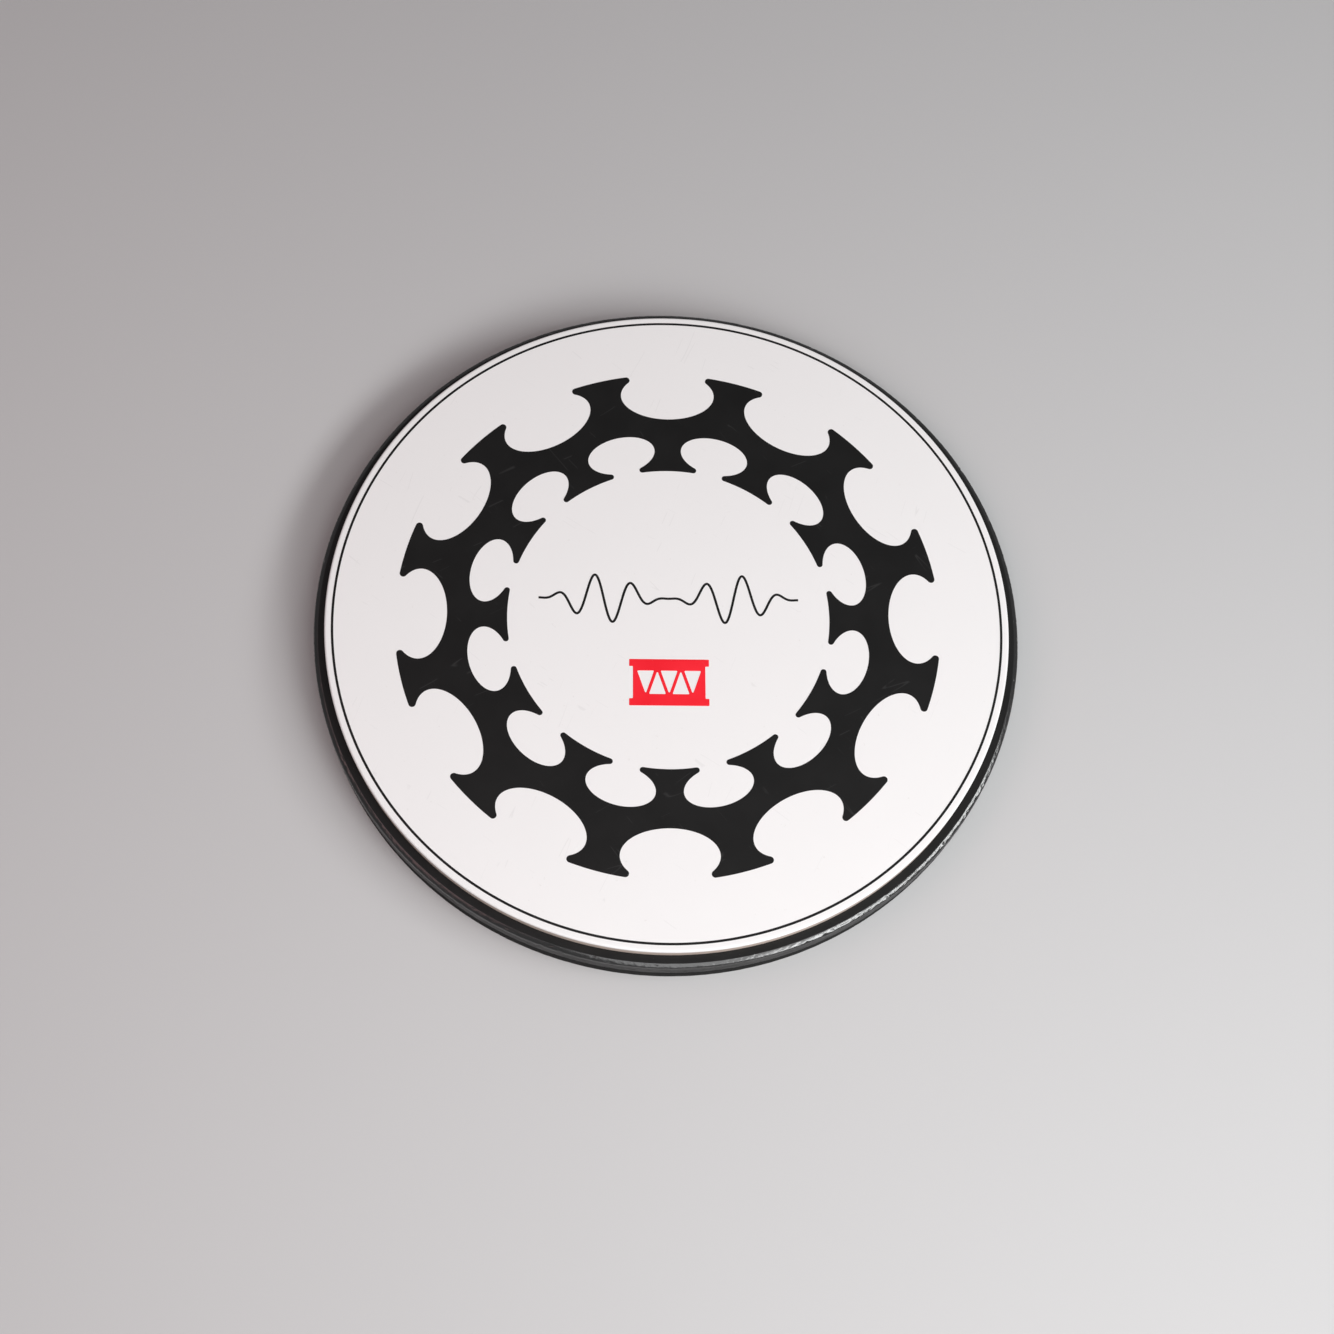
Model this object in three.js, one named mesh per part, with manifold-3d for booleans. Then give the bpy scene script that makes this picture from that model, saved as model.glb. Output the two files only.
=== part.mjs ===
// A drummer's practice pad: a painted wooden board that carries a white rubber layer with
// a printed film on top, and a soft non-slip layer underneath.
// Millimetres, +Z up. The origin is the centre of the underside, and +Y is the top of the print.

import * as THREE from 'three';
import { mergeVertices } from 'three/addons/utils/BufferGeometryUtils.js';
import Module from 'manifold-3d';

// Board and layers
const BOARD_RADIUS = 152.4;
const BOARD_THICKNESS = 9;
const BOARD_TOP_ROUND = 2;
const BOARD_BOTTOM_ROUND = 1.2;
const UNDERLAY_RADIUS = 152;
const UNDERLAY_THICKNESS = 8;
const UNDERLAY_ROUND = 0.8;
const FACE_RADIUS = 147;
const RUBBER_THICKNESS = 5.1;
const FILM_THICKNESS = 0.4;
const FILM_ROUND = 0.3;
const GLUE_THICKNESS = 0.2;
const FILM_GLUE_THICKNESS = 0.1;
const GLUE_INSET = 0.6;
const INK_THICKNESS = 0.1;

// Border line, measured along its middle
const LINE_RADIUS = 143.6;
const LINE_WIDTH = 1.05;

// Notched ring: notches are ellipses set into a flat ring, from both sides in turn
const NOTCH_COUNT = 12;
const OUTER_NOTCHES = {
  tipRadius: 117.3,
  centreRadius: 106.7,
  halfWidth: 20.8,
  halfDepth: 11.8,
  cornerRound: 1.55,
  mouth: 1,
  firstAzimuth: 0,
};
const INNER_NOTCHES = {
  tipRadius: 69.25,
  centreRadius: 79.15,
  halfWidth: 15,
  halfDepth: 8.75,
  cornerRound: 1.25,
  mouth: -1,
  firstAzimuth: Math.PI / NOTCH_COUNT,
};

// Pen wave: a straight line with two bursts of ripples
const WAVE_LENGTH = 112;
const WAVE_HEIGHT = 11.5;
const WAVE_RIPPLES = 7;
const WAVE_LINE_WIDTH = 1.05;
const WAVE_Y = 8;

// Drum emblem
const EMBLEM_Y = -30.5;
const EMBLEM_WIDTH = 34;
const EMBLEM_HEIGHT = 21;
const EMBLEM_HOOP = 3.2;
const EMBLEM_SHELL_INSET = 1.6;
const ROPE_BAYS = 5;
const ROPE_PITCH = 5;
const ROPE_BAY_WIDTH = 7.2;
const ROPE_BAY_HEIGHT = 10.6;

// Fineness of the round shapes
const ROUND_SEGMENTS = 96;
const CORNER_STEPS = 4;
const NOTCH_STEPS = 16;
const TIP_STEPS = 3;
const TIP_CORNER_STEPS = 2;
const WAVE_STEPS = 168;

// Heights, from the underside up
const BOARD_BOTTOM = UNDERLAY_THICKNESS + GLUE_THICKNESS;
const BOARD_TOP = BOARD_BOTTOM + BOARD_THICKNESS;
const RUBBER_BOTTOM = BOARD_TOP + GLUE_THICKNESS;
const RUBBER_TOP = RUBBER_BOTTOM + RUBBER_THICKNESS;
const FILM_BOTTOM = RUBBER_TOP + FILM_GLUE_THICKNESS;
const FILM_TOP = FILM_BOTTOM + FILM_THICKNESS;

const MATERIALS = {
  film: new THREE.MeshStandardMaterial({ color: '#f1efee', roughness: 0.3, metalness: 0 }),
  blackInk: new THREE.MeshStandardMaterial({ color: '#1b1b1c', roughness: 0.5, metalness: 0 }),
  redInk: new THREE.MeshStandardMaterial({ color: '#e8202e', roughness: 0.45, metalness: 0 }),
  glue: new THREE.MeshStandardMaterial({ color: '#b9b09c', roughness: 0.6, metalness: 0 }),
  rubber: new THREE.MeshStandardMaterial({ color: '#e9e3dc', roughness: 0.6, metalness: 0 }),
  paint: new THREE.MeshStandardMaterial({ color: '#151516', roughness: 0.4, metalness: 0 }),
  underlay: new THREE.MeshStandardMaterial({ color: '#2c2c2e', roughness: 0.9, metalness: 0 }),
};

const manifold = await Module();
manifold.setup();

/** A quarter circle in a profile, from startAngle, or a single point where round is 0. */
function corner(x, y, round, startAngle) {
  if (round === 0) {
    return [new THREE.Vector2(x, y)];
  }
  const points = [];
  for (let i = 0; i <= CORNER_STEPS; i += 1) {
    const angle = startAngle + (Math.PI / 2) * (i / CORNER_STEPS);
    points.push(new THREE.Vector2(x + round * Math.cos(angle), y + round * Math.sin(angle)));
  }
  return points;
}

/** A profile turned about +Z. */
function turned(profile) {
  return new THREE.LatheGeometry(profile, ROUND_SEGMENTS).rotateX(Math.PI / 2);
}

/** A flat disc standing on z = 0, with a rounded lower and upper edge. */
function disc(radius, thickness, lowerRound = 0, upperRound = 0) {
  return turned([
    new THREE.Vector2(0, 0),
    ...corner(radius - lowerRound, lowerRound, lowerRound, -Math.PI / 2),
    ...corner(radius - upperRound, thickness - upperRound, upperRound, 0),
    new THREE.Vector2(0, thickness),
  ]);
}

/** A flat outline raised to the thickness of the ink. */
function inkLayer(shape) {
  return new THREE.ExtrudeGeometry(shape, { depth: INK_THICKNESS, bevelEnabled: false });
}

/** Where a notch's ellipse gives way to its rounded corner, in tangential and radial terms. */
function notchCorner(notches) {
  const targetRadius = notches.tipRadius - notches.mouth * notches.cornerRound;
  const at = (angle) => {
    const normal = new THREE.Vector2(
      notches.halfDepth * Math.sin(angle),
      notches.mouth * notches.halfWidth * Math.cos(angle),
    ).normalize();
    const centre = new THREE.Vector2(
      notches.halfWidth * Math.sin(angle),
      notches.centreRadius + notches.mouth * notches.halfDepth * Math.cos(angle),
    ).addScaledVector(normal, notches.cornerRound);
    return { angle, normal, centre };
  };
  let low = 0;
  let high = Math.PI / 2;
  for (let i = 0; i < 40; i += 1) {
    const middle = (low + high) / 2;
    if (notches.mouth * (at(middle).centre.length() - targetRadius) > 0) {
      low = middle;
    } else {
      high = middle;
    }
  }
  return at(low);
}

/** The rounded corner about centre, turning the short way from one direction to another. */
function cornerArc(centre, round, from, to) {
  const start = Math.atan2(from.y, from.x);
  const turn = Math.atan2(from.cross(to), from.dot(to));
  const points = [];
  for (let i = 0; i <= TIP_CORNER_STEPS; i += 1) {
    const angle = start + turn * (i / TIP_CORNER_STEPS);
    points.push(new THREE.Vector2(Math.cos(angle), Math.sin(angle)).multiplyScalar(round).add(centre));
  }
  return points;
}

/** One notch, corner to corner, with x along the ring and y away from its centre. */
function notchPoints(notches) {
  const { angle, normal, centre } = notchCorner(notches);
  const toTip = centre.clone().normalize().multiplyScalar(notches.mouth);
  const towardsNotch = normal.clone().negate();
  const points = [];
  for (let i = 1; i < NOTCH_STEPS; i += 1) {
    const around = angle + (2 * Math.PI - 2 * angle) * (i / NOTCH_STEPS);
    points.push(new THREE.Vector2(
      -notches.halfWidth * Math.sin(around),
      notches.centreRadius + notches.mouth * notches.halfDepth * Math.cos(around),
    ));
  }
  const lastCorner = cornerArc(centre, notches.cornerRound, towardsNotch, toTip);
  const firstCorner = lastCorner.map((p) => new THREE.Vector2(-p.x, p.y)).reverse();
  return [...firstCorner, ...points, ...lastCorner];
}

/** The closed loop of notches and tips along one side of the ring. */
function notchedLoop(notches) {
  const notch = notchPoints(notches);
  const pitch = (2 * Math.PI) / NOTCH_COUNT;
  const halfMouth = Math.atan2(notch.at(-1).x, notch.at(-1).y);
  const loop = [];
  for (let n = 0; n < NOTCH_COUNT; n += 1) {
    const azimuth = notches.firstAzimuth + pitch * n;
    const radial = new THREE.Vector2(Math.cos(azimuth), Math.sin(azimuth));
    const along = new THREE.Vector2(-radial.y, radial.x);
    for (const p of notch) {
      loop.push(along.clone().multiplyScalar(p.x).addScaledVector(radial, p.y));
    }
    for (let i = 1; i < TIP_STEPS; i += 1) {
      const tip = azimuth + halfMouth + (pitch - 2 * halfMouth) * (i / TIP_STEPS);
      loop.push(new THREE.Vector2(Math.cos(tip), Math.sin(tip)).multiplyScalar(notches.tipRadius));
    }
  }
  return loop;
}

function notchedRing() {
  const shape = new THREE.Shape(notchedLoop(OUTER_NOTCHES));
  shape.holes.push(new THREE.Path(notchedLoop(INNER_NOTCHES)));
  return inkLayer(shape);
}

function borderLine() {
  const inner = LINE_RADIUS - LINE_WIDTH / 2;
  const outer = LINE_RADIUS + LINE_WIDTH / 2;
  return turned([
    new THREE.Vector2(inner, 0),
    new THREE.Vector2(outer, 0),
    new THREE.Vector2(outer, INK_THICKNESS),
    new THREE.Vector2(inner, INK_THICKNESS),
    new THREE.Vector2(inner, 0),
  ]);
}

/** The pen wave's middle line, which mirrors itself about its middle. */
class PenWave extends THREE.Curve {
  getPoint(t) {
    const turn = 2 * Math.PI * (t - 0.5);
    return new THREE.Vector2(
      WAVE_LENGTH * (t - 0.5),
      WAVE_HEIGHT * Math.sin(turn) ** 2 * Math.cos(WAVE_RIPPLES * turn),
    );
  }
}

function penWave() {
  const wave = new PenWave();
  const upper = [];
  const lower = [];
  for (let i = 0; i <= WAVE_STEPS; i += 1) {
    const point = wave.getPoint(i / WAVE_STEPS);
    const tangent = wave.getTangent(i / WAVE_STEPS);
    const across = new THREE.Vector2(-tangent.y, tangent.x).multiplyScalar(WAVE_LINE_WIDTH / 2);
    upper.push(point.clone().add(across));
    lower.push(point.clone().sub(across));
  }
  return inkLayer(new THREE.Shape([...lower, ...upper.reverse()]));
}

/** A three.js geometry as a manifold solid. */
function toSolid(geometry) {
  const bare = geometry.clone().deleteAttribute('normal').deleteAttribute('uv');
  const merged = mergeVertices(bare);
  return new manifold.Manifold(new manifold.Mesh({
    numProp: 3,
    vertProperties: merged.attributes.position.array,
    triVerts: new Uint32Array(merged.index.array),
  }));
}

/** A manifold solid as a three.js geometry. */
function toGeometry(solid) {
  const mesh = solid.getMesh();
  const geometry = new THREE.BufferGeometry();
  geometry.setAttribute('position', new THREE.BufferAttribute(mesh.vertProperties, 3));
  geometry.setIndex(new THREE.BufferAttribute(mesh.triVerts, 1));
  geometry.computeVertexNormals();
  return geometry;
}

/** The side view of a rope drum: two hoops, a shell, and bays cut out between the ropes. */
function drumEmblem() {
  const hoopX = EMBLEM_WIDTH / 2;
  const shellX = hoopX - EMBLEM_SHELL_INSET;
  const hoopY = EMBLEM_HEIGHT / 2;
  const shellY = hoopY - EMBLEM_HOOP;
  const rightSide = [[hoopX, -hoopY], [hoopX, -shellY], [shellX, -shellY], [shellX, shellY],
    [hoopX, shellY], [hoopX, hoopY]];
  const leftSide = rightSide.map(([x, y]) => [-x, y]).reverse();
  const outline = [...rightSide, ...leftSide].map(([x, y]) => new THREE.Vector2(x, y));
  let drum = toSolid(inkLayer(new THREE.Shape(outline)));
  for (let bay = 0; bay < ROPE_BAYS; bay += 1) {
    const x = ROPE_PITCH * (bay - (ROPE_BAYS - 1) / 2);
    const baseY = (ROPE_BAY_HEIGHT / 2) * (bay % 2 === 0 ? 1 : -1);
    const triangle = new THREE.Shape([
      new THREE.Vector2(x - ROPE_BAY_WIDTH / 2, baseY),
      new THREE.Vector2(x + ROPE_BAY_WIDTH / 2, baseY),
      new THREE.Vector2(x, -baseY),
    ]);
    const cutter = new THREE.ExtrudeGeometry(triangle, { depth: 3 * INK_THICKNESS, bevelEnabled: false });
    drum = drum.subtract(toSolid(cutter.translate(0, 0, -INK_THICKNESS)));
  }
  return toGeometry(drum);
}

const group = new THREE.Group();

/** Adds one piece, standing at height z with its own centre at y. */
function add(name, geometry, material, z, y = 0) {
  const mesh = new THREE.Mesh(geometry, material);
  mesh.name = name;
  mesh.position.set(0, y, z);
  group.add(mesh);
}

add('non_slip_underlay', disc(UNDERLAY_RADIUS, UNDERLAY_THICKNESS, UNDERLAY_ROUND), MATERIALS.underlay, 0);
add('underlay_adhesive', disc(UNDERLAY_RADIUS - BOARD_BOTTOM_ROUND - GLUE_INSET, GLUE_THICKNESS),
  MATERIALS.glue, UNDERLAY_THICKNESS);
add('base_board', disc(BOARD_RADIUS, BOARD_THICKNESS, BOARD_BOTTOM_ROUND, BOARD_TOP_ROUND),
  MATERIALS.paint, BOARD_BOTTOM);
add('rubber_adhesive', disc(FACE_RADIUS - GLUE_INSET, GLUE_THICKNESS), MATERIALS.glue, BOARD_TOP);
add('rubber_layer', disc(FACE_RADIUS, RUBBER_THICKNESS), MATERIALS.rubber, RUBBER_BOTTOM);
add('film_adhesive', disc(FACE_RADIUS - GLUE_INSET, FILM_GLUE_THICKNESS), MATERIALS.glue, RUBBER_TOP);
add('printed_film', disc(FACE_RADIUS, FILM_THICKNESS, 0, FILM_ROUND), MATERIALS.film, FILM_BOTTOM);
add('ink_border_line', borderLine(), MATERIALS.blackInk, FILM_TOP);
add('ink_notched_ring', notchedRing(), MATERIALS.blackInk, FILM_TOP);
add('ink_pen_wave', penWave(), MATERIALS.blackInk, FILM_TOP, WAVE_Y);
add('ink_drum_emblem', drumEmblem(), MATERIALS.redInk, FILM_TOP, EMBLEM_Y);

export default group;
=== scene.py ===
import math

import bpy
from mathutils import Matrix, Vector, noise
from mathutils.geometry import tessellate_polygon


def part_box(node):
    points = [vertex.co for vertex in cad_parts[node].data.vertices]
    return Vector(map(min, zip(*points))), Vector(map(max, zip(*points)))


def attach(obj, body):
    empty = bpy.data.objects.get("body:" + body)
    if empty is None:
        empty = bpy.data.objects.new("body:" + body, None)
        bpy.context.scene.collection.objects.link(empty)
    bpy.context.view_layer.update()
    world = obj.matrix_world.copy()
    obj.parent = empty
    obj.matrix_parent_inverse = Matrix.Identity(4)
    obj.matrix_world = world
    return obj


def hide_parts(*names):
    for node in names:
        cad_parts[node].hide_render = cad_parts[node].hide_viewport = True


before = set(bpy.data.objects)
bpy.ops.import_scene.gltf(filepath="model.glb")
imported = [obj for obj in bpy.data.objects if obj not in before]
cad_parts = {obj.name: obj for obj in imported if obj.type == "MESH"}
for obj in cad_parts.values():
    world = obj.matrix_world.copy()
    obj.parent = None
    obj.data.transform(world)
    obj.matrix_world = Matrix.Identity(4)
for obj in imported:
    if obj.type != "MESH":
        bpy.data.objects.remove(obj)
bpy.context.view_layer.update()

# ---------------------------------------------------------------- sizes, in metres, from the frame

MM = 0.001
BODY = "root"


def heights(node):
    """Lowest and highest z of a CAD node."""
    low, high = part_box(node)
    return low.z, high.z


def radius(node):
    """How far a round CAD node reaches from the pad's axis."""
    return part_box(node)[1].x


UNDERLAY_BOTTOM, UNDERLAY_TOP = heights("non_slip_underlay")
BOARD_BOTTOM, BOARD_TOP = heights("base_board")
RUBBER_BOTTOM, RUBBER_TOP = heights("rubber_layer")
FILM_BOTTOM, FILM_TOP = heights("printed_film")
INK_TOP = heights("ink_notched_ring")[1]
UNDERLAY_RADIUS = radius("non_slip_underlay")
BOARD_RADIUS = radius("base_board")
FACE_RADIUS = radius("printed_film")
LINE_OUTER = radius("ink_border_line")

BOARD_SEGMENTS = 1440
SOFT_SEGMENTS = 960
FACE_SEGMENTS = 720

# The board's worn shoulder, as bend() takes it, and the room kept for its lumps.
SHOULDER = ((0.3 * MM, 70, 3), (7 * MM, 58, 10), (1.1 * MM, 0, 9))
RIM_INSET = 0.16 * MM

# The film's edge, rounded and turned down over the rubber's shoulder.
FILM_ROUND = 0.9 * MM
FILM_SKIRT = 0.35 * MM

INK_CLEARANCE = 0.004 * MM
INK_EDGE = 0.04 * MM
LINE_WIDTH = 1.05 * MM

# Notches bitten into the ring's two sides, in millimetres: ellipses whose mouths have round corners.
# A mouth of 1 opens outwards and -1 inwards, and first is the angle of the first notch.
NOTCH_COUNT = 12
OUTER_NOTCHES = dict(
    tip=117.3, centre=106.7, half_width=20.8, half_depth=11.8, corner=1.55, mouth=1, first=0.0
)
INNER_NOTCHES = dict(
    tip=69.25, centre=79.15, half_width=15.0, half_depth=8.75, corner=1.25, mouth=-1,
    first=math.pi / NOTCH_COUNT
)

WAVE_LENGTH = 112 * MM
WAVE_HEIGHT = 11.5 * MM
WAVE_RIPPLES = 7
WAVE_LINE_WIDTH = 1.05 * MM
WAVE_Y = 8 * MM

EMBLEM_Y = -30.5 * MM
EMBLEM_WIDTH = 34 * MM
EMBLEM_HEIGHT = 21 * MM
EMBLEM_HOOP = 3.2 * MM
EMBLEM_SHELL_INSET = 1.6 * MM
EMBLEM_CORNER = 0.35 * MM
ROPE_BAYS = 5
ROPE_PITCH = 5 * MM
ROPE_BAY_WIDTH = 7.2 * MM
ROPE_BAY_HEIGHT = 10.6 * MM

# ---------------------------------------------------------------- floor, light and camera settings

FLOOR_GAP = 0.05 * MM
FLOOR_RADIUS = 12
FLOOR_SEGMENTS = 96

# Azimuths run in degrees anticlockwise of +X. Distances and sizes are in metres, and power in watts.
LAMPS = (
    dict(name="key", azimuth=-32, elevation=40, distance=1.5, width=1.5, height=0.32,
         power=16.6, colour=(0.99, 1.0, 1.0)),
    dict(name="front_top", azimuth=-72, elevation=54, distance=0.88, width=0.6, height=0.8,
         power=3.5, colour=(1.0, 1.0, 1.0)),
    dict(name="warm_fill", azimuth=190, elevation=56, distance=1.2, width=1.0, height=0.6,
         power=1.8, colour=(1.0, 0.58, 0.58)),
)
WORLD_COLOUR = (0.97, 0.98, 1.0, 1)
WORLD_STRENGTH = 0.18

# Heading, tilt and roll are in degrees, and the lens and sensor in millimetres.
CAMERA_HEADING = 83.4
CAMERA_TILT = 68.74
CAMERA_ROLL = 6.73
CAMERA_DISTANCE = 0.872
CAMERA_AIM = Vector((-0.0009, -0.0235, FILM_TOP))
CAMERA_LENS = 55.32
CAMERA_SENSOR = 36

# ---------------------------------------------------------------- profiles


def arc(r, z, size, start, end, steps):
    """Profile points round a corner centred at (r, z), from one angle to another, in degrees."""
    angles = [math.radians(start + (end - start) * i / steps) for i in range(steps + 1)]
    return [(r + size * math.cos(a), z + size * math.sin(a)) for a in angles]


def bend(start, parts):
    """Profile points from start, down and outwards, along arcs given as (radius, end angle, steps).
    The angle is that of the surface's normal above the horizontal, and begins at 90 degrees."""
    r, z = start
    angle = 90.0
    points = []
    for size, end, steps in parts:
        for i in range(1, steps + 1):
            a, b = (math.radians(angle + (end - angle) * k / steps) for k in (i - 1, i))
            r += size * (math.cos(b) - math.cos(a))
            z += size * (math.sin(b) - math.sin(a))
            points.append((r, z))
        angle = end
    return points


def rise(r, low, high, steps):
    """Profile points up a wall, ends left out."""
    return [(r, low + (high - low) * i / steps) for i in range(1, steps)]


SHOULDER_END = bend((0, 0), SHOULDER)[-1]
SHOULDER_START = BOARD_RADIUS - RIM_INSET - SHOULDER_END[0]
SHOULDER_FOOT = BOARD_TOP + SHOULDER_END[1]

# ---------------------------------------------------------------- materials

# The colour sockets of a Mix node, whose names its number and vector sockets share.
MIX_A = 6
MIX_B = 7
MIX_RESULT = 2

# How hairlines() draws its noise out, sizes the places that have scratches, and fades them in.
SCRATCH_STRETCH = (0.07, 1, 1)
SCRATCH_PLACE_SIZE = 1.3
SCRATCH_PLACE_FADE = 0.04


class Paint:
    """A node material on one Principled shader, with short helpers for its textures."""

    def __init__(self, name, **sockets):
        self.material = bpy.data.materials.new(name)
        self.material.use_nodes = True
        self.tree = self.material.node_tree
        self.shader = self.tree.nodes["Principled BSDF"]
        self.place = self.tree.nodes.new("ShaderNodeTexCoord").outputs["Object"]
        for socket, value in sockets.items():
            self.shader.inputs[socket.replace("_", " ")].default_value = value

    def link(self, value, socket):
        """Joins an output to an input, or sets the input to a plain number or colour."""
        if isinstance(value, bpy.types.NodeSocket):
            self.tree.links.new(value, socket)
        else:
            socket.default_value = value

    def stretched(self, scale, place=None):
        """The place on the object, scaled along each axis."""
        node = self.tree.nodes.new("ShaderNodeVectorMath")
        node.operation = "MULTIPLY"
        self.link(place or self.place, node.inputs[0])
        node.inputs[1].default_value = scale
        return node.outputs[0]

    def noise(self, size, detail=2.0, roughness=0.5, distortion=0.0, place=None):
        """Noise from 0 to 1 whose features are about size metres wide."""
        node = self.tree.nodes.new("ShaderNodeTexNoise")
        self.link(place or self.place, node.inputs["Vector"])
        node.inputs["Scale"].default_value = 1 / size
        node.inputs["Detail"].default_value = detail
        node.inputs["Roughness"].default_value = roughness
        node.inputs["Distortion"].default_value = distortion
        return node.outputs["Fac"]

    def cells(self, size):
        """Distance from the middle of cells of about size metres."""
        node = self.tree.nodes.new("ShaderNodeTexVoronoi")
        self.link(self.place, node.inputs["Vector"])
        node.inputs["Scale"].default_value = 1 / size
        return node.outputs["Distance"]

    def math(self, operation, a, b=0.0):
        """A number worked out from one or two others."""
        node = self.tree.nodes.new("ShaderNodeMath")
        node.operation = operation
        self.link(a, node.inputs[0])
        self.link(b, node.inputs[1])
        return node.outputs[0]

    def times(self, a, b):
        """The product of two numbers."""
        return self.math("MULTIPLY", a, b)

    def spread(self, value, low, high, to_low=0.0, to_high=1.0):
        """Maps low..high to to_low..to_high, clamped, with soft ends."""
        node = self.tree.nodes.new("ShaderNodeMapRange")
        node.interpolation_type = "SMOOTHSTEP"
        self.link(value, node.inputs["Value"])
        node.inputs["From Min"].default_value = low
        node.inputs["From Max"].default_value = high
        node.inputs["To Min"].default_value = to_low
        node.inputs["To Max"].default_value = to_high
        return node.outputs["Result"]

    def mix(self, share, a, b):
        """Colour a where share is 0 and b where it is 1."""
        node = self.tree.nodes.new("ShaderNodeMix")
        node.data_type = "RGBA"
        self.link(share, node.inputs["Factor"])
        self.link(a, node.inputs[MIX_A])
        self.link(b, node.inputs[MIX_B])
        return node.outputs[MIX_RESULT]

    def height(self):
        """Height above the pad's underside."""
        node = self.tree.nodes.new("ShaderNodeSeparateXYZ")
        self.link(self.place, node.inputs[0])
        return node.outputs["Z"]

    def radial(self):
        """Distance from the pad's axis."""
        node = self.tree.nodes.new("ShaderNodeVectorMath")
        node.operation = "LENGTH"
        self.link(self.stretched((1, 1, 0)), node.inputs[0])
        return node.outputs["Value"]

    def hairlines(self, size, width, cover, angle):
        """Sparse scratches along angle: thin contours of a drawn-out noise, kept only in some places."""
        turn = self.tree.nodes.new("ShaderNodeVectorRotate")
        turn.rotation_type = "Z_AXIS"
        turn.inputs["Angle"].default_value = math.radians(angle)
        self.link(self.place, turn.inputs["Vector"])
        drawn_out = self.stretched(SCRATCH_STRETCH, turn.outputs[0])
        level = self.noise(size, detail=1, place=drawn_out)
        contour = self.math("ABSOLUTE", self.math("SUBTRACT", level, 0.5))
        line = self.spread(contour, 0.0, width, to_low=1.0, to_high=0.0)
        patches = self.noise(size * SCRATCH_PLACE_SIZE, detail=1)
        return self.times(line, self.spread(patches, cover, cover + SCRATCH_PLACE_FADE))

    def bump(self, *layers):
        """Chains (height, distance, strength) layers into the shader's normal, and returns it."""
        normal = None
        for height, distance, strength in layers:
            node = self.tree.nodes.new("ShaderNodeBump")
            self.link(height, node.inputs["Height"])
            node.inputs["Distance"].default_value = distance
            node.inputs["Strength"].default_value = strength
            if normal is not None:
                self.link(normal, node.inputs["Normal"])
            normal = node.outputs["Normal"]
        self.link(normal, self.shader.inputs["Normal"])
        return normal

    def colour(self, value):
        """Sets the shader's base colour."""
        self.link(value, self.shader.inputs["Base Color"])

    def roughness(self, value):
        """Sets the shader's roughness."""
        self.link(value, self.shader.inputs["Roughness"])


def grey(level, warm=0.0):
    """A near-grey colour, warmer for a positive warm."""
    return (level * (1 + warm), level, level * (1 - warm), 1.0)


def film_material():
    """Glossy white film with faint stick marks, specks and smudges."""
    clean_white = (0.900, 0.893, 0.890, 1)
    dull_white = (0.880, 0.873, 0.870, 1)
    mark_strength = 0.16
    paint = Paint("white_film", Coat_Weight=0.2, Coat_Roughness=0.18)
    clean = paint.mix(paint.noise(60 * MM, detail=3), clean_white, dull_white)
    long_marks = paint.hairlines(size=9 * MM, width=0.008, cover=0.62, angle=35)
    cross_marks = paint.hairlines(size=11 * MM, width=0.006, cover=0.62, angle=-70)
    marks = paint.math("MAXIMUM", long_marks, cross_marks)
    specks = paint.spread(paint.noise(2.2 * MM, roughness=0.6), 0.72, 0.78)
    marked = paint.mix(paint.times(marks, mark_strength), clean, grey(0.5))
    paint.colour(paint.mix(paint.times(specks, mark_strength), marked, grey(0.5, warm=0.08)))
    smudges = paint.noise(34 * MM, detail=4, roughness=0.65)
    gloss = paint.spread(smudges, 0.35, 0.75, to_low=0.32, to_high=0.44)
    paint.roughness(paint.math("ADD", gloss, paint.times(marks, 0.15)))
    peel = paint.noise(1.1 * MM)
    paint.bump((peel, 0.02 * MM, 0.35), (marks, -0.02 * MM, 0.5))
    return paint.material


def ink_material(name, dark, light, worn):
    """Screen-printed ink, grainy and clouded, with worn specks and scratches."""
    speck_strength = 0.4
    scratch_strength = 0.6
    paint = Paint(name, Specular_IOR_Level=0.3)
    grain = paint.noise(0.7 * MM, detail=3, roughness=0.8)
    cloud = paint.noise(22 * MM, detail=3)
    body = paint.mix(paint.spread(cloud, 0.3, 0.7), dark, light)
    specks = paint.spread(grain, 0.60, 0.74)
    speckled = paint.mix(paint.times(specks, speck_strength), body, worn)
    long_scratches = paint.hairlines(size=10 * MM, width=0.007, cover=0.60, angle=-28)
    cross_scratches = paint.hairlines(size=8 * MM, width=0.007, cover=0.62, angle=50)
    scratches = paint.math("MAXIMUM", long_scratches, cross_scratches)
    paint.colour(paint.mix(paint.times(scratches, scratch_strength), speckled, worn))
    paint.roughness(paint.spread(grain, 0.3, 0.7, to_low=0.46, to_high=0.60))
    paint.bump((grain, 0.015 * MM, 0.5), (scratches, -0.02 * MM, 0.6))
    return paint.material


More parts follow.
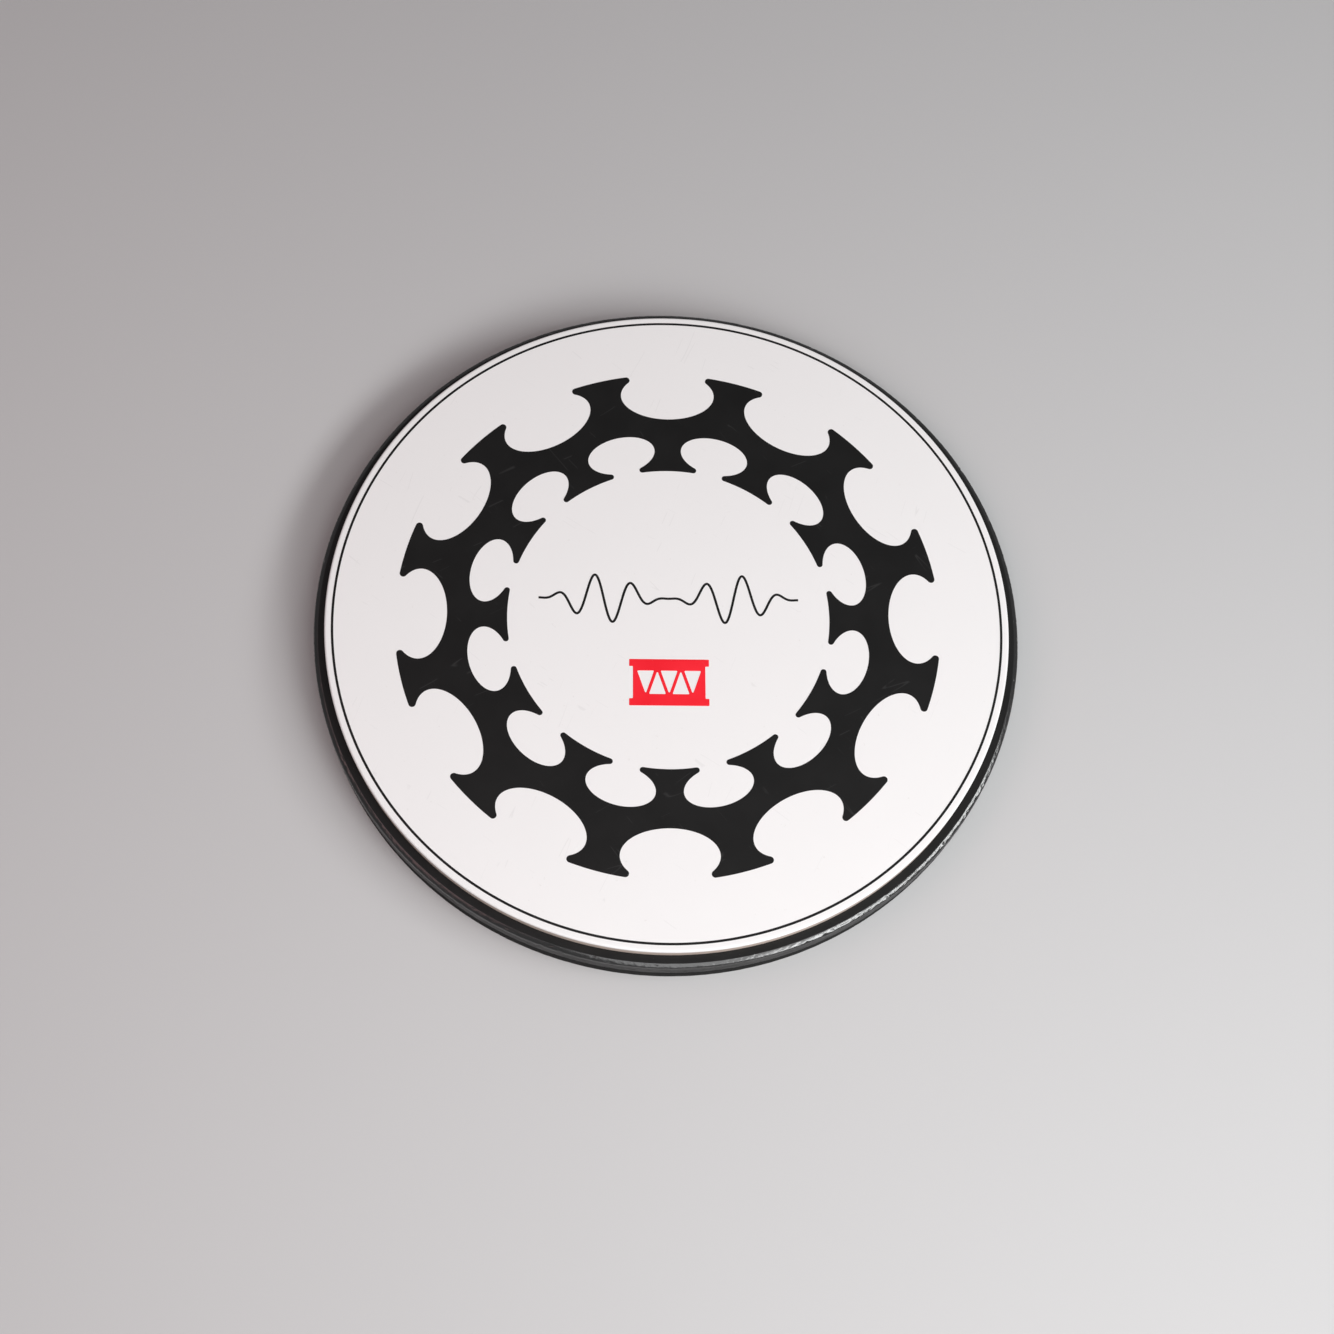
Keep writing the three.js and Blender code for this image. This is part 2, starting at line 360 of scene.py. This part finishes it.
def board_material():
    """Black paint over fibreboard: dull on the ledge and the side, glossy on the worn shoulder."""
    ledge_share = 0.12
    side_share = 0.08
    speck_strength = 0.4
    paint = Paint("painted_board", IOR=1.25, Coat_Roughness=0.13, Coat_IOR=1.7)
    past_ledge = paint.spread(
        paint.radial(), SHOULDER_START - 0.3 * MM, SHOULDER_START + 0.1 * MM, to_low=ledge_share
    )
    above_side = paint.spread(
        paint.height(), SHOULDER_FOOT - 0.6 * MM, SHOULDER_FOOT + 0.4 * MM, to_low=side_share
    )
    paint.link(paint.times(past_ledge, above_side), paint.shader.inputs["Coat Weight"])
    cloud = paint.noise(14 * MM, detail=4, roughness=0.6)
    body = paint.mix(cloud, grey(0.010), grey(0.016))
    specks = paint.spread(paint.noise(0.9 * MM, detail=1), 0.78, 0.82)
    paint.colour(paint.mix(paint.times(specks, speck_strength), body, grey(0.12, warm=0.04)))
    paint.roughness(paint.spread(cloud, 0.3, 0.7, to_low=0.42, to_high=0.52))
    peel = paint.noise(0.8 * MM)
    fibres = paint.noise(0.7 * MM, detail=3, roughness=0.7, place=paint.stretched((1, 1, 0.5)))
    normal = paint.bump((peel, 0.03 * MM, 0.4), (paint.times(fibres, past_ledge), 0.10 * MM, 0.5))
    paint.link(normal, paint.shader.inputs["Coat Normal"])
    return paint.material


def foam_material():
    """Dull black foam rubber with fine cells, dust and scuffs along its edge."""
    scuff_strength = 0.3
    paint = Paint("underlay_foam", IOR=1.2)
    cells = paint.cells(0.55 * MM)
    coarse = paint.noise(18 * MM, detail=3)
    body = paint.mix(cells, grey(0.010), grey(0.024))
    dust = paint.spread(coarse, 0.45, 0.8, to_high=0.2)
    dusty = paint.mix(dust, body, grey(0.06, warm=0.02))
    drawn_out = paint.noise(4 * MM, detail=4, roughness=0.7, place=paint.stretched((1, 1, 4)))
    scuffs = paint.spread(drawn_out, 0.58, 0.72)
    paint.colour(paint.mix(paint.times(scuffs, scuff_strength), dusty, grey(0.07, warm=0.02)))
    paint.roughness(paint.spread(coarse, 0.3, 0.8, to_low=0.82, to_high=0.95))
    paint.bump((cells, 0.12 * MM, 0.7), (paint.noise(0.25 * MM), 0.04 * MM, 0.5))
    return paint.material


def rubber_material():
    """Off-white cut rubber with upright streaks and some grime, its colours darkened and warmed all over as
    painted warm shade.
    """
    # Painted shade: the rubber's two tones and its dirt are darkened and warmed brown from off-white, as on
    # a wall in warm shadow.
    light_rubber_in_painted_shade = (0.63, 0.53, 0.47, 1)
    dark_rubber_in_painted_shade = (0.56, 0.455, 0.395, 1)
    dirt_in_painted_shade = (0.45, 0.38, 0.33, 1)
    paint = Paint("white_rubber")
    body = paint.mix(paint.noise(9 * MM, detail=3), light_rubber_in_painted_shade, dark_rubber_in_painted_shade)
    grime = paint.spread(paint.noise(3 * MM, detail=4, roughness=0.7), 0.55, 0.8, to_high=0.3)
    paint.colour(paint.mix(grime, body, dirt_in_painted_shade))
    streaks = paint.noise(0.9 * MM, detail=3, roughness=0.6, place=paint.stretched((1, 1, 0.12)))
    paint.roughness(paint.spread(streaks, 0.3, 0.7, to_low=0.45, to_high=0.62))
    paint.bump((streaks, 0.05 * MM, 0.5), (paint.noise(0.3 * MM), 0.01 * MM, 0.5))
    return paint.material


def adhesive_material():
    """Amber glue, spread in strokes."""
    light_glue = (0.52, 0.46, 0.34, 1)
    dark_glue = (0.40, 0.33, 0.21, 1)
    paint = Paint("adhesive", Coat_Weight=0.3)
    across = paint.stretched((1, 0.15, 1))
    strokes = paint.noise(2.5 * MM, detail=4, roughness=0.6, distortion=0.4, place=across)
    paint.colour(paint.mix(strokes, light_glue, dark_glue))
    paint.roughness(paint.spread(strokes, 0.3, 0.7, to_low=0.35, to_high=0.6))
    paint.bump((strokes, 0.05 * MM, 0.6))
    return paint.material


def floor_material():
    """Plain pale grey, very slightly clouded."""
    paint = Paint("pale_floor")
    cloud = paint.noise(0.6, detail=3)
    paint.colour(paint.mix(cloud, (0.545, 0.545, 0.55, 1), (0.575, 0.575, 0.575, 1)))
    paint.roughness(paint.spread(cloud, 0.3, 0.7, to_low=0.75, to_high=0.85))
    return paint.material


# ---------------------------------------------------------------- mesh helpers

# How quickly fractal noise fades, and how much finer each of its octaves is.
FRACTAL_FADE = 0.9
FRACTAL_STEP = 2.0

SHARP_DEGREES = 40
INK_SHARP_DEGREES = 30


def clamped(share):
    """A number kept between 0 and 1."""
    return min(max(share, 0), 1)


def rough(point, size, octaves=3):
    """Fractal noise about 0 at a point, with features about size wide."""
    return noise.fractal(point / size, FRACTAL_FADE, FRACTAL_STEP, octaves)


def squashed(point, share):
    """A point with its height scaled down, which draws noise out upwards."""
    return Vector((point.x, point.y, point.z * share))


def finished(name, vertices, faces, sharp_degrees=SHARP_DEGREES):
    """A smooth-shaded object whose edges past sharp_degrees stay crisp."""
    mesh = bpy.data.meshes.new(name)
    mesh.from_pydata(vertices, [], faces)
    mesh.update()
    for polygon in mesh.polygons:
        polygon.use_smooth = True
    mesh.set_sharp_from_angle(angle=math.radians(sharp_degrees))
    piece = bpy.data.objects.new(name, mesh)
    bpy.context.scene.collection.objects.link(piece)
    return piece


def outward(profile, k):
    """The direction out of the solid at profile point k, as (along r, up)."""
    r = profile[k + 1][0] - profile[k - 1][0]
    z = profile[k + 1][1] - profile[k - 1][1]
    length = math.hypot(r, z)
    return z / length, -r / length


def turned(name, profile, segments, swell=None):
    """A closed solid: a profile of (r, z), from its bottom to its top, turned about the axis.
    swell(point, r, z) gives how far each point moves out of the surface."""
    vertices = [(0, 0, profile[0][1])]
    for k in range(1, len(profile) - 1):
        r, z = profile[k]
        along, up = outward(profile, k)
        for i in range(segments):
            angle = 2 * math.pi * i / segments
            c = math.cos(angle)
            s = math.sin(angle)
            move = swell(Vector((r * c, r * s, z)), r, z) if swell else 0
            wide = r + along * move
            vertices.append((wide * c, wide * s, z + up * move))
    top = len(vertices)
    vertices.append((0, 0, profile[-1][1]))
    last = top - segments
    faces = []
    for i in range(segments):
        j = (i + 1) % segments
        faces.append((0, 1 + j, 1 + i))
        faces.append((top, last + i, last + j))
        for a in range(1, last, segments):
            b = a + segments
            faces.append((a + i, a + j, b + j, b + i))
    return finished(name, vertices, faces)


def fit(piece, node, material):
    """Gives a piece its material, hides the CAD node it stands for, and hangs it on the body it rides on."""
    piece.data.materials.append(material)
    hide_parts(node)
    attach(piece, BODY)


# ---------------------------------------------------------------- the pad's layers


def make_underlay(material):
    """Foam rubber disc with a softly bulging cut edge."""
    room = 0.18 * MM
    bulge_depth = 0.10 * MM
    lump_size = 3.2 * MM
    lump_height = 0.05 * MM
    wave_size = 30 * MM
    wave_height = 0.04 * MM
    edge_width = 0.8 * MM
    lower = 0.8 * MM
    upper = 0.5 * MM
    rim = UNDERLAY_RADIUS - room
    flat = rim - 2 * MM
    middle = (UNDERLAY_BOTTOM + UNDERLAY_TOP) / 2
    half = (UNDERLAY_TOP - UNDERLAY_BOTTOM) / 2
    profile = [(0, UNDERLAY_BOTTOM), (rim / 2, UNDERLAY_BOTTOM), (flat, UNDERLAY_BOTTOM)]
    profile += arc(rim - lower, UNDERLAY_BOTTOM + lower, lower, -90, 0, 7)
    profile += rise(rim, UNDERLAY_BOTTOM + lower, UNDERLAY_TOP - upper, 10)
    profile += arc(rim - upper, UNDERLAY_TOP - upper, upper, 0, 90, 5)
    profile += [(flat, UNDERLAY_TOP), (0, UNDERLAY_TOP)]

    def swell(point, r, z):
        edge = clamped((r - rim + edge_width) / edge_width)
        bulge = bulge_depth * (1 - ((z - middle) / half) ** 2)
        lumps = lump_height * rough(point, lump_size) + wave_height * rough(point, wave_size, octaves=1)
        return edge * (bulge + min(lumps, room - bulge_depth))

    piece = turned("foam_underlay", profile, SOFT_SEGMENTS, swell)
    fit(piece, "non_slip_underlay", material)


def make_board(material):
    """Painted fibreboard disc, its worn shoulder lumpy where the paint follows the cut fibres."""
    fibre_size = 1.5 * MM
    fibre_height = 0.065 * MM
    pit_size = 1.9 * MM
    pit_depth = 0.45 * MM
    pit_level = 0.36
    pit_shift = Vector((7, 3, 1))
    wave_size = 26 * MM
    wave_height = 0.06 * MM
    edge_width = 0.9 * MM
    lower = 1.2 * MM
    rim = BOARD_RADIUS - RIM_INSET
    ledge = [SHOULDER_START, SHOULDER_START - 0.4 * MM, FACE_RADIUS + 0.9 * MM]
    under_rubber = [FACE_RADIUS - 1 * MM, FACE_RADIUS / 2, 0]
    profile = [(0, BOARD_BOTTOM), (rim / 2, BOARD_BOTTOM), (rim - 2 * lower, BOARD_BOTTOM)]
    profile += arc(rim - lower, BOARD_BOTTOM + lower, lower, -90, 0, 6)
    profile += rise(rim, BOARD_BOTTOM + lower, SHOULDER_FOOT, 11)
    profile += bend((SHOULDER_START, BOARD_TOP), SHOULDER)[::-1]
    profile += [(r, BOARD_TOP) for r in ledge + under_rubber]

    def swell(point, r, z):
        edge = clamped((r - SHOULDER_START) / edge_width)
        fibres = rough(squashed(point, 0.6), fibre_size)
        pits = max(rough(point + pit_shift, pit_size, octaves=2) - pit_level, 0)
        waves = rough(point, wave_size, octaves=1)
        return edge * min(fibre_height * fibres - pit_depth * pits + wave_height * waves, RIM_INSET)

    piece = turned("painted_base_board", profile, BOARD_SEGMENTS, swell)
    fit(piece, "base_board", material)


def make_rubber(material):
    """White rubber disc, its shoulder rounded under the film's turned edge."""
    streak_size = 2.4 * MM
    streak_depth = 0.03 * MM
    foot = 0.25 * MM
    lip = 0.18 * MM
    wall = FACE_RADIUS - 0.05 * MM
    film = FILM_TOP - FILM_BOTTOM
    shoulder = FILM_ROUND - film
    seam = FILM_TOP - FILM_ROUND - FILM_SKIRT
    under_film = FACE_RADIUS - film - (FILM_BOTTOM - RUBBER_TOP)
    profile = [(0, RUBBER_BOTTOM), (wall / 2, RUBBER_BOTTOM)]
    profile += arc(wall - foot, RUBBER_BOTTOM + foot, foot, -90, 0, 5)
    profile += rise(wall, RUBBER_BOTTOM + foot, seam - lip, 8)
    profile += arc(wall - lip, seam - lip, lip, 0, 90, 4)
    profile += [(under_film, seam)]
    profile += arc(under_film - shoulder, RUBBER_TOP - shoulder, shoulder, 0, 90, 5)
    profile += [(wall / 2, RUBBER_TOP), (0, RUBBER_TOP)]

    def swell(point, r, z):
        if r <= wall - foot / 2 or z >= seam - lip / 2:
            return 0
        return streak_depth * (rough(squashed(point, 0.15), streak_size) - 1)

    piece = turned("white_rubber_layer", profile, SOFT_SEGMENTS, swell)
    fit(piece, "rubber_layer", material)


def make_film(material):
    """Thin glossy film with its edge turned down over the rubber's shoulder."""
    seam_gap = 0.04 * MM
    lip = 0.06 * MM
    inner = FILM_ROUND - (FILM_TOP - FILM_BOTTOM)
    centre_r = FACE_RADIUS - FILM_ROUND
    centre_z = FILM_TOP - FILM_ROUND
    skirt = centre_z - FILM_SKIRT + seam_gap
    profile = [(0, FILM_BOTTOM), (centre_r / 2, FILM_BOTTOM)]
    profile += arc(centre_r, centre_z, inner, 90, 0, 5)
    profile += [(centre_r + inner, skirt), (FACE_RADIUS - lip, skirt), (FACE_RADIUS, skirt + lip)]
    profile += arc(centre_r, centre_z, FILM_ROUND, 0, 90, 10)
    profile += [(centre_r - 0.6 * MM, FILM_TOP), (centre_r * 0.66, FILM_TOP), (centre_r * 0.33, FILM_TOP)]
    profile += [(0, FILM_TOP)]
    fit(turned("printed_face_film", profile, FACE_SEGMENTS), "printed_film", material)


def make_adhesive(node, name, material):
    """A glue sheet with an uneven edge."""
    ripple_size = 9 * MM
    ripple_depth = 0.22 * MM
    crest = 0.05 * MM
    low, high = heights(node)
    rim = radius(node) - 0.3 * MM
    profile = [(0, low), (rim / 2, low), (rim, low), (rim + crest, (low + high) / 2)]
    profile += [(rim, high), (rim / 2, high), (0, high)]

    def swell(point, r, z):
        return ripple_depth * rough(point, ripple_size) if r > rim and z < high else 0

    fit(turned(name, profile, FACE_SEGMENTS, swell), node, material)


# ---------------------------------------------------------------- the print


def inset(loop):
    """A loop moved into its ink by the width of the ink's softened edge."""
    moved = []
    for i, (x, y) in enumerate(loop):
        ax, ay = loop[i - 1]
        bx, by = loop[(i + 1) % len(loop)]
        along = Vector((bx - ax, by - ay)).normalized()
        moved.append((x - along.y * INK_EDGE, y + along.x * INK_EDGE))
    return moved


def printed(name, loops, node, material):
    """Ink inside the first loop and outside the others: a flat layer with a softened upper edge.
    Loops are lists of (x, y) in metres, the first anticlockwise and the others clockwise."""
    vertices = []
    faces = []
    bottoms = []
    tops = []
    top_loops = []
    for loop in loops:
        start = len(vertices)
        count = len(loop)
        top_loop = inset(loop)
        vertices += [(x, y, FILM_TOP + INK_CLEARANCE) for x, y in loop]
        vertices += [(x, y, INK_TOP - INK_EDGE) for x, y in loop]
        vertices += [(x, y, INK_TOP) for x, y in top_loop]
        for a in (start, start + count):
            b = a + count
            for i in range(count):
                j = (i + 1) % count
                faces.append((a + i, a + j, b + j, b + i))
        bottoms += range(start, start + count)
        tops += range(start + 2 * count, start + 3 * count)
        top_loops.append([Vector((x, y, 0)) for x, y in top_loop])
    flat = [point for loop in top_loops for point in loop]
    for a, b, c in tessellate_polygon(top_loops):
        if (flat[b] - flat[a]).cross(flat[c] - flat[a]).z < 0:
            b, c = c, b
        faces.append((tops[a], tops[b], tops[c]))
        faces.append((bottoms[a], bottoms[c], bottoms[b]))
    fit(finished(name, vertices, faces, INK_SHARP_DEGREES), node, material)


def notch_corner(notches, angle):
    """The outward direction of a notch's ellipse at angle, and its rounded corner's centre."""
    mouth = notches["mouth"]
    normal = Vector((notches["half_depth"] * math.sin(angle),
                     mouth * notches["half_width"] * math.cos(angle))).normalized()
    edge = Vector((notches["half_width"] * math.sin(angle),
                   notches["centre"] + mouth * notches["half_depth"] * math.cos(angle)))
    return normal, edge + normal * notches["corner"]


def corner_angle(notches, halvings=50):
    """Where round its ellipse a notch's corner begins, so that the corner just reaches the tip's radius."""
    mouth = notches["mouth"]
    target = notches["tip"] - mouth * notches["corner"]
    low = 0.0
    high = math.pi / 2
    for _ in range(halvings):
        angle = (low + high) / 2
        past_target = mouth * (notch_corner(notches, angle)[1].length - target) > 0
        low, high = (angle, high) if past_target else (low, angle)
    return angle


def notch_points(notches, ellipse_steps=96, corner_steps=10):
    """One notch from corner to corner, with x along the ring and y away from its centre."""
    mouth = notches["mouth"]
    angle = corner_angle(notches)
    normal, centre = notch_corner(notches, angle)
    start = math.atan2(-normal.y, -normal.x)
    tip = centre.normalized() * mouth
    turn = (math.atan2(tip.y, tip.x) - start + math.pi) % (2 * math.pi) - math.pi
    last = []
    for i in range(corner_steps + 1):
        a = start + turn * i / corner_steps
        last.append((centre.x + notches["corner"] * math.cos(a), centre.y + notches["corner"] * math.sin(a)))
    first = [(-x, y) for x, y in reversed(last)]
    middle = []
    for i in range(1, ellipse_steps):
        around = angle + (2 * math.pi - 2 * angle) * i / ellipse_steps
        middle.append((-notches["half_width"] * math.sin(around),
                       notches["centre"] + mouth * notches["half_depth"] * math.cos(around)))
    return first + middle + last


def notched_loop(notches, tip_steps=14):
    """The closed loop of notches and tips along one side of the ring, anticlockwise, in metres."""
    notch = notch_points(notches)
    pitch = 2 * math.pi / NOTCH_COUNT
    half_mouth = math.atan2(*notch[-1])
    loop = []
    for n in range(NOTCH_COUNT):
        azimuth = notches["first"] + pitch * n
        radial = Vector((math.cos(azimuth), math.sin(azimuth)))
        along = Vector((-radial.y, radial.x))
        loop += [along * x + radial * y for x, y in notch]
        for i in range(1, tip_steps):
            tip = azimuth + half_mouth + (pitch - 2 * half_mouth) * i / tip_steps
            loop.append(Vector((math.cos(tip), math.sin(tip))) * notches["tip"])
    return [(p.x * MM, p.y * MM) for p in loop]


def circle(r, steps=FACE_SEGMENTS):
    """A circle's points, anticlockwise."""
    angles = [2 * math.pi * i / steps for i in range(steps)]
    return [(r * math.cos(a), r * math.sin(a)) for a in angles]


def wave_point(t):
    """The middle of the pen line, for t from 0 at its left end to 1 at its right."""
    turn = 2 * math.pi * (t - 0.5)
    ripple = math.sin(turn) ** 2 * math.cos(WAVE_RIPPLES * turn)
    return Vector((WAVE_LENGTH * (t - 0.5), WAVE_Y + WAVE_HEIGHT * ripple))


def wave_loop(steps=900, nudge=1e-4):
    """The outline of a pen line with two bursts of ripples."""
    upper = []
    lower = []
    for i in range(steps + 1):
        t = i / steps
        along = (wave_point(t + nudge) - wave_point(t - nudge)).normalized()
        across = Vector((-along.y, along.x)) * (WAVE_LINE_WIDTH / 2)
        upper.append(tuple(wave_point(t) + across))
        lower.append(tuple(wave_point(t) - across))
    return lower + upper[::-1]


def rounded(corners, size, steps=6):
    """A polygon with its corners rounded."""
    loop = []
    for i, corner in enumerate(corners):
        here = Vector(corner)
        before = (Vector(corners[i - 1]) - here).normalized()
        after = (Vector(corners[(i + 1) % len(corners)]) - here).normalized()
        half = before.angle(after) / 2
        centre = here + (before + after).normalized() * (size / math.sin(half))
        start = here + before * (size / math.tan(half)) - centre
        end = here + after * (size / math.tan(half)) - centre
        turn = math.atan2(start.x * end.y - start.y * end.x, start.dot(end))
        first = math.atan2(start.y, start.x)
        for k in range(steps + 1):
            a = first + turn * k / steps
            loop.append((centre.x + size * math.cos(a), centre.y + size * math.sin(a)))
    return loop


def emblem_loops():
    """The side view of a rope drum: its outline, and the bays between the ropes."""
    hoop_x = EMBLEM_WIDTH / 2
    hoop_y = EMBLEM_HEIGHT / 2
    shell_x = hoop_x - EMBLEM_SHELL_INSET
    shell_y = hoop_y - EMBLEM_HOOP
    right = [(hoop_x, -hoop_y), (hoop_x, -shell_y), (shell_x, -shell_y), (shell_x, shell_y),
             (hoop_x, shell_y), (hoop_x, hoop_y)]
    outline = right + [(-x, y) for x, y in reversed(right)]
    loops = [rounded(outline, EMBLEM_CORNER)]
    base = ROPE_BAY_HEIGHT / 2
    for bay in range(ROPE_BAYS):
        x = ROPE_PITCH * (bay - (ROPE_BAYS - 1) / 2)
        corners = [(x - ROPE_BAY_WIDTH / 2, base), (x + ROPE_BAY_WIDTH / 2, base), (x, -base)]
        if bay % 2:
            corners = [(px, -py) for px, py in reversed(corners)]
        loops.append(rounded(corners, EMBLEM_CORNER))
    return [[(x, y + EMBLEM_Y) for x, y in loop] for loop in loops]


def make_print():
    """The four printed marks, in two inks."""
    black = ink_material("black_ink", dark=grey(0.004), light=grey(0.0065), worn=grey(0.032))
    red = ink_material(
        "red_ink", dark=(0.90, 0.010, 0.024, 1), light=(0.96, 0.018, 0.034, 1), worn=(0.90, 0.09, 0.11, 1)
    )
    ring = [notched_loop(OUTER_NOTCHES), notched_loop(INNER_NOTCHES)[::-1]]
    printed("black_notched_ring", ring, "ink_notched_ring", black)
    border = [circle(LINE_OUTER), circle(LINE_OUTER - LINE_WIDTH)[::-1]]
    printed("black_border_line", border, "ink_border_line", black)
    printed("black_pen_wave", [wave_loop()], "ink_pen_wave", black)
    printed("red_drum_emblem", emblem_loops(), "ink_drum_emblem", red)


# ---------------------------------------------------------------- floor, light and camera


def make_floor():
    """A wide pale disc just under the pad."""
    bpy.ops.mesh.primitive_circle_add(vertices=FLOOR_SEGMENTS, radius=FLOOR_RADIUS, fill_type="NGON")
    floor = bpy.context.object
    floor.name = "floor"
    floor.location.z = -FLOOR_GAP
    floor.data.materials.append(floor_material())


def direction(azimuth, elevation):
    """The unit vector towards an azimuth and elevation, in degrees."""
    a = math.radians(azimuth)
    e = math.radians(elevation)
    return Vector((math.cos(a) * math.cos(e), math.sin(a) * math.cos(e), math.sin(e)))


def softbox(name, azimuth, elevation, distance, width, height, power, colour):
    """A soft rectangular lamp that faces the pad."""
    lamp = bpy.data.lights.new(name, "AREA")
    lamp.shape = "RECTANGLE"
    lamp.size = width
    lamp.size_y = height
    lamp.energy = power
    lamp.color = colour
    holder = bpy.data.objects.new(name, lamp)
    towards = direction(azimuth, elevation)
    holder.location = towards * distance
    holder.rotation_euler = towards.to_track_quat("Z", "Y").to_euler()
    bpy.context.scene.collection.objects.link(holder)


def make_light():
    """A dim, even world and the soft lamps."""
    world = bpy.data.worlds.new("studio")
    world.use_nodes = True
    background = world.node_tree.nodes["Background"]
    background.inputs["Color"].default_value = WORLD_COLOUR
    background.inputs["Strength"].default_value = WORLD_STRENGTH
    bpy.context.scene.world = world
    for lamp in LAMPS:
        softbox(**lamp)
    bpy.context.scene.view_settings.view_transform = "Standard"


def make_camera():
    """The camera, which looks steeply down at the pad from the front."""
    lens = bpy.data.cameras.new("camera")
    lens.lens = CAMERA_LENS
    lens.sensor_width = CAMERA_SENSOR
    camera = bpy.data.objects.new("camera", lens)
    forward = direction(CAMERA_HEADING, -CAMERA_TILT)
    roll = Matrix.Rotation(math.radians(CAMERA_ROLL), 3, "Z")
    turn = forward.to_track_quat("-Z", "Y").to_matrix() @ roll
    camera.matrix_world = Matrix.Translation(CAMERA_AIM - forward * CAMERA_DISTANCE) @ turn.to_4x4()
    bpy.context.scene.collection.objects.link(camera)
    bpy.context.scene.camera = camera


# ---------------------------------------------------------------- the scene

make_camera()
make_light()
make_floor()

make_underlay(foam_material())
make_board(board_material())
make_rubber(rubber_material())
make_film(film_material())
glue = adhesive_material()
make_adhesive("underlay_adhesive", "underlay_glue_sheet", glue)
make_adhesive("rubber_adhesive", "rubber_glue_sheet", glue)
make_adhesive("film_adhesive", "film_glue_sheet", glue)
make_print()
